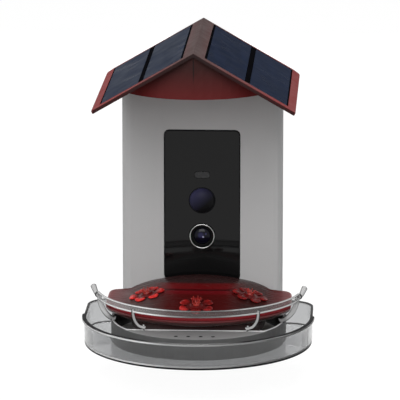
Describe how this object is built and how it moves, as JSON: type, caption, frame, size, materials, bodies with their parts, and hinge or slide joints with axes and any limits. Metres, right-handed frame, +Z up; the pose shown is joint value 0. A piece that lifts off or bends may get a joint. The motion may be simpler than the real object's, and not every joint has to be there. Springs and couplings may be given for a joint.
{
  "type": "smart bird feeder",
  "caption": "Bird feeder with a camera in its seed hopper, a hinged solar gable roof, a seed basin in a clear tray, a clear perch and a lift-off nectar feeder with flower ports.",
  "frame": {"origin": "on the ground, under the centre of the tray's front curve", "axes": "+Z up, -Y to the front where the birds feed, +X to the right seen from the front"},
  "size_m": [0.211, 0.2148, 0.2802],
  "materials": {
    "grey": "satin",
    "red": "satin",
    "cell": "satin, with fine contact lines",
    "black": "matte",
    "gloss": "high gloss",
    "rubber": "matte",
    "clear": "clear, faintly smoked",
    "nectar": "translucent dark red, high gloss",
    "flower": "gloss",
    "guard": "satin",
    "chrome": "bright",
    "steel": "plain",
    "glass": "coated",
    "board": "satin",
    "battery": "shrink wrap"
  },
  "bodies": {
    "stand": {"column_shell": "grey", "rear_cover": "grey", "rear_screw_1": "steel", "rear_screw_2": "steel", "rear_screw_3": "steel", "rear_screw_4": "steel", "feed_base": "grey", "base_screw_left": "steel", "base_screw_right": "steel", "hinge_pin_left": "steel", "hinge_pin_right": "steel", "camera_case": "black", "ir_window": "gloss", "camera_panel": "gloss", "panel_gasket": "rubber", "pir_dome": "gloss", "pir_sensor": "steel", "lens_ring": "chrome", "lens_barrel": "black", "lens_glass": "glass", "image_sensor": "black", "main_board": "board", "battery": "battery", "port_board": "board", "usb_socket": "steel", "power_switch": "black"},
    "roof": {"hood": "red", "roof_shell": "red", "solar_frame_left": "black", "solar_frame_right": "black", "solar_cell_left_inner": "cell", "solar_cell_left_outer": "cell", "solar_cell_right_inner": "cell", "solar_cell_right_outer": "cell", "hood_screw_1": "steel", "hood_screw_2": "steel", "hood_screw_3": "steel", "hood_screw_4": "steel"},
    "tray": {"clear_tray": "clear"},
    "nectar_feeder": {"nectar_bowl": "nectar", "bowl_seal": "rubber"},
    "feeder_top": {"feeder_cover": "nectar", "flower_left": "flower", "flower_front": "flower", "flower_right": "flower", "bee_guard_left": "guard", "bee_guard_front": "guard", "bee_guard_right": "guard"},
    "perch": {"perch_rail": "clear", "perch_handle_left": "clear", "perch_handle_right": "clear"},
    "button": {"power_button": "rubber"},
    "port_flap": {"port_cover": "rubber"}
  },
  "joints": [
    {"name": "roof_hinge", "type": "hinge", "parent": "stand", "child": "roof", "pos_m": [0, 0.1063, 0.2413], "axis": [-1, 0, 0], "range_deg": [0, 95]},
    {"name": "tray_slide", "type": "slide", "parent": "stand", "child": "tray", "axis": [0, 0, -1], "range_m": [0, 0.035]},
    {"name": "nectar_feeder_slide", "type": "slide", "parent": "stand", "child": "nectar_feeder", "axis": [0, 0, 1], "range_m": [0, 0.03]},
    {"name": "feeder_top_slide", "type": "slide", "parent": "nectar_feeder", "child": "feeder_top", "axis": [0, 0, 1], "range_m": [0, 0.02]},
    {"name": "perch_slide", "type": "slide", "parent": "stand", "child": "perch", "axis": [0, 0, 1], "range_m": [0, 0.015]},
    {"name": "button_press", "type": "slide", "parent": "stand", "child": "button", "axis": [0, -1, 0], "range_m": [0, 0.001], "stiffness_N_per_m": 500, "springref_m": -0.001},
    {"name": "port_cover_hinge", "type": "hinge", "parent": "stand", "child": "port_flap", "pos_m": [-0.009, 0.1091, 0.1455], "axis": [-1, 0, 0], "range_deg": [0, 110]}
  ]
}
